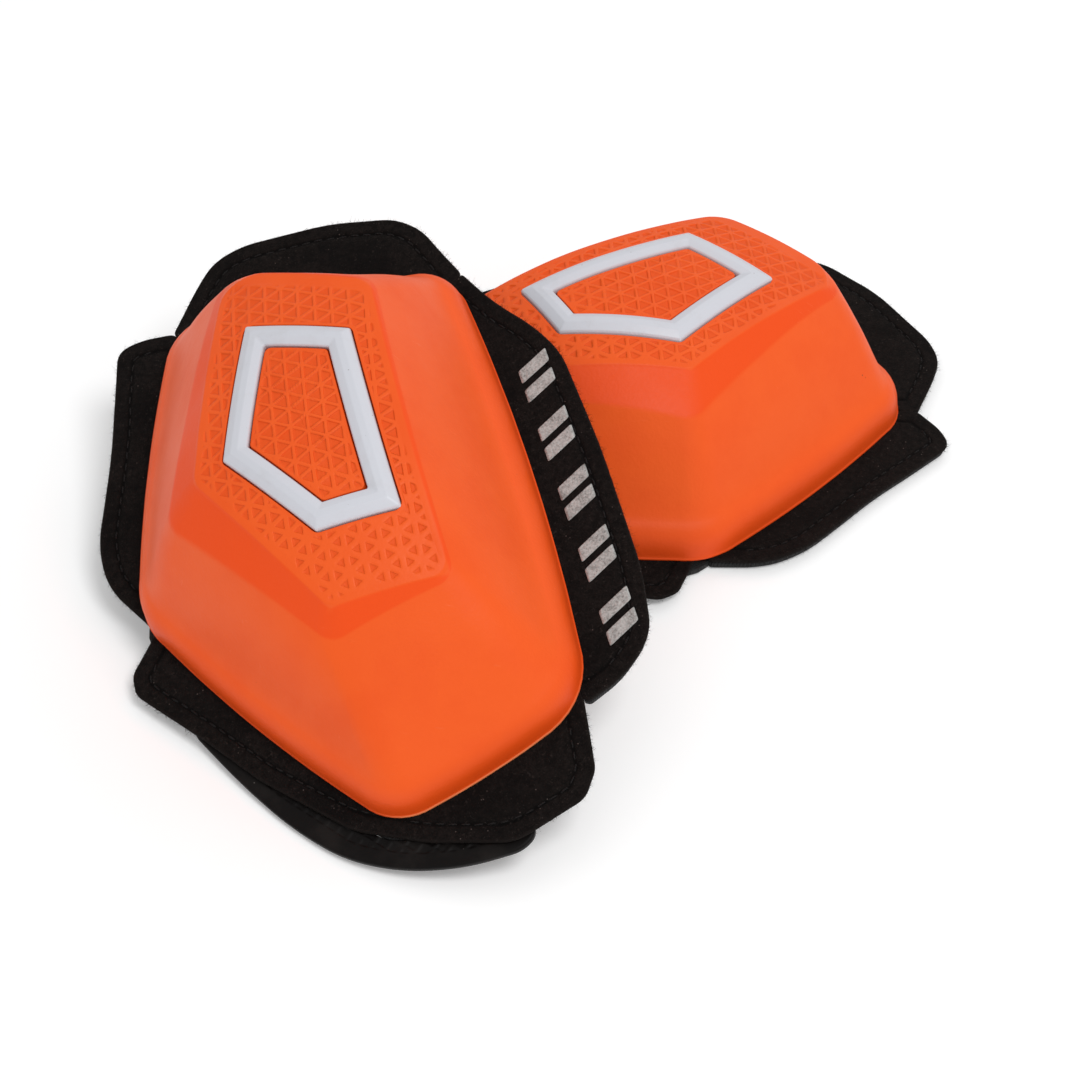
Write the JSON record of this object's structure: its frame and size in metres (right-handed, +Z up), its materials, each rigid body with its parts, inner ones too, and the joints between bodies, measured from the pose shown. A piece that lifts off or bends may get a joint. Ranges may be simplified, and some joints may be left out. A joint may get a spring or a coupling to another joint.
{
  "type": "knee slider pair",
  "caption": "Pair of mirror-image moulded knee pads, each a hollow domed puck with an inlaid ring on a four-lobed fabric flange with a hook back.",
  "frame": {"origin": "on the floor under the middle of the right pad's hook face", "axes": "+Z up out of the right pad's hook face, +X to the right and +Y away from the front"},
  "size_m": [0.215, 0.228, 0.0799],
  "materials": {
    "orange_polyurethane": "satin",
    "white_plastic": "satin",
    "grey_foam": "matt",
    "black_plastic": "matt",
    "rivet_steel": "satin",
    "black_suede": "matt suede",
    "hook_fabric": "matt hooks",
    "black_rubber": "satin",
    "reflective_print": "grainy, reflective",
    "black_thread": "matt"
  },
  "bodies": {
    "right_pad": {"right_slider_shell": "orange_polyurethane", "right_inlay_ring": "white_plastic", "right_foam_core": "grey_foam", "right_base_plate": "black_plastic", "right_rivets": "rivet_steel", "right_washers": "rivet_steel", "right_cover_core": "black_suede", "right_hook_core": "hook_fabric", "right_tip_lip": "black_rubber"},
    "left_inner_flap": {"left_inner_cover_flap": "black_suede", "left_inner_hook_flap": "hook_fabric"},
    "left_outer_flap": {"left_outer_cover_flap": "black_suede", "left_outer_hook_flap": "hook_fabric", "left_reflective_bars": "reflective_print"},
    "left_pad": {"left_slider_shell": "orange_polyurethane", "left_inlay_ring": "white_plastic", "left_foam_core": "grey_foam", "left_base_plate": "black_plastic", "left_rivets": "rivet_steel", "left_washers": "rivet_steel", "left_cover_core": "black_suede", "left_hook_core": "hook_fabric", "left_tip_lip": "black_rubber"},
    "left_top_flap": {"left_top_cover_flap": "black_suede", "left_top_hook_flap": "hook_fabric"},
    "right_inner_flap": {"right_inner_cover_flap": "black_suede", "right_inner_hook_flap": "hook_fabric"},
    "right_outer_flap": {"right_outer_cover_flap": "black_suede", "right_outer_hook_flap": "hook_fabric", "right_reflective_bars": "reflective_print"},
    "right_top_flap": {"right_top_cover_flap": "black_suede", "right_top_hook_flap": "hook_fabric"}
  },
  "joints": [
    {"name": "left_pad_lift", "type": "slide", "parent": "right_pad", "child": "left_pad", "axis": [0, 0, 1], "range_m": [0, 0.1]},
    {"name": "right_top_flap_hinge", "type": "hinge", "parent": "right_pad", "child": "right_top_flap", "pos_m": [0.06499, 0.0436, 0.002], "axis": [-0.6384, 0.7697, 0], "range_deg": [-8, 25], "stiffness_Nm_per_rad": 0.02},
    {"name": "right_outer_flap_hinge", "type": "hinge", "parent": "right_pad", "child": "right_outer_flap", "pos_m": [-0.01954, 0.0427, 0.002], "axis": [-0.8725, -0.4887, 0], "range_deg": [-8, 18], "stiffness_Nm_per_rad": 0.02},
    {"name": "right_inner_flap_hinge", "type": "hinge", "parent": "right_pad", "child": "right_inner_flap", "pos_m": [0.06115, -0.02162, 0.002], "axis": [0.6713, 0.7412, 0], "range_deg": [-8, 25], "stiffness_Nm_per_rad": 0.02},
    {"name": "left_top_flap_hinge", "type": "hinge", "parent": "left_pad", "child": "left_top_flap", "pos_m": [-0.07411, -0.00059, 0.04489], "axis": [-0.9625, -0.0645, -0.2634], "range_deg": [-8, 25], "stiffness_Nm_per_rad": 0.02},
    {"name": "left_outer_flap_hinge", "type": "hinge", "parent": "left_pad", "child": "left_outer_flap", "pos_m": [-0.01381, -0.05972, 0.04124], "axis": [-0.3093, 0.9258, 0.2174], "range_deg": [-8, 18], "stiffness_Nm_per_rad": 0.02},
    {"name": "left_inner_flap_hinge", "type": "hinge", "parent": "left_pad", "child": "left_inner_flap", "pos_m": [-0.11394, -0.04617, 0.0203], "axis": [-0.0005, -0.9526, -0.3041], "range_deg": [-8, 25], "stiffness_Nm_per_rad": 0.02}
  ]
}
